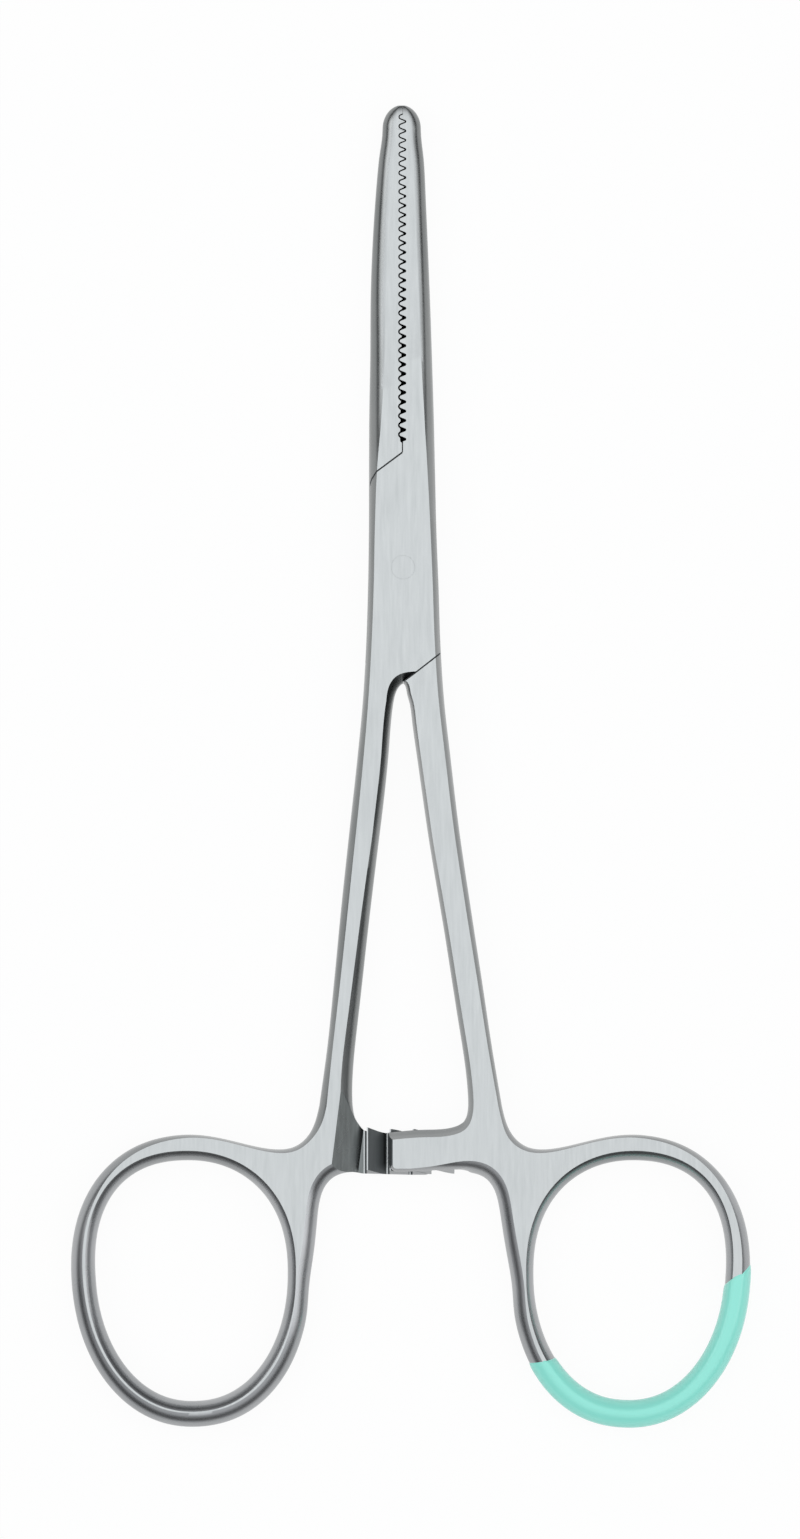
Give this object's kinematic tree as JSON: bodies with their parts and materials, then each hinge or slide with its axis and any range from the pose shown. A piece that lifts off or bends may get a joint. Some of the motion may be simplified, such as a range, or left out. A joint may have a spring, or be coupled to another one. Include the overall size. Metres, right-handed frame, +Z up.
{
  "type": "hemostat forceps",
  "caption": "Straight hemostat in satin steel: serrated jaws, a box lock on a pivot pin, interlocking ratchet arms and finger rings, with a mint colour coating dipped onto a ring.",
  "frame": {"origin": "on the pivot axis, at the underside of the box lock, which is the surface the closed instrument lies on", "axes": "+Y along the closed jaws to the tips, +Z up along the pivot axis, +X across the instrument towards the coated ring"},
  "size_m": [0.0721, 0.1401, 0.0046],
  "materials": {
    "satin_steel": "satin",
    "pin_steel": "satin",
    "mint_coating": "gloss"
  },
  "bodies": {
    "box_side": {"box_half": "satin_steel", "pivot_pin": "pin_steel"},
    "tenon_side": {"tenon_half": "satin_steel", "colour_coating": "mint_coating"}
  },
  "joints": [
    {"name": "box_lock", "type": "hinge", "parent": "box_side", "child": "tenon_side", "pos_m": [0, 0, 0], "axis": [0, 0, 1], "range_deg": [0, 45]}
  ]
}
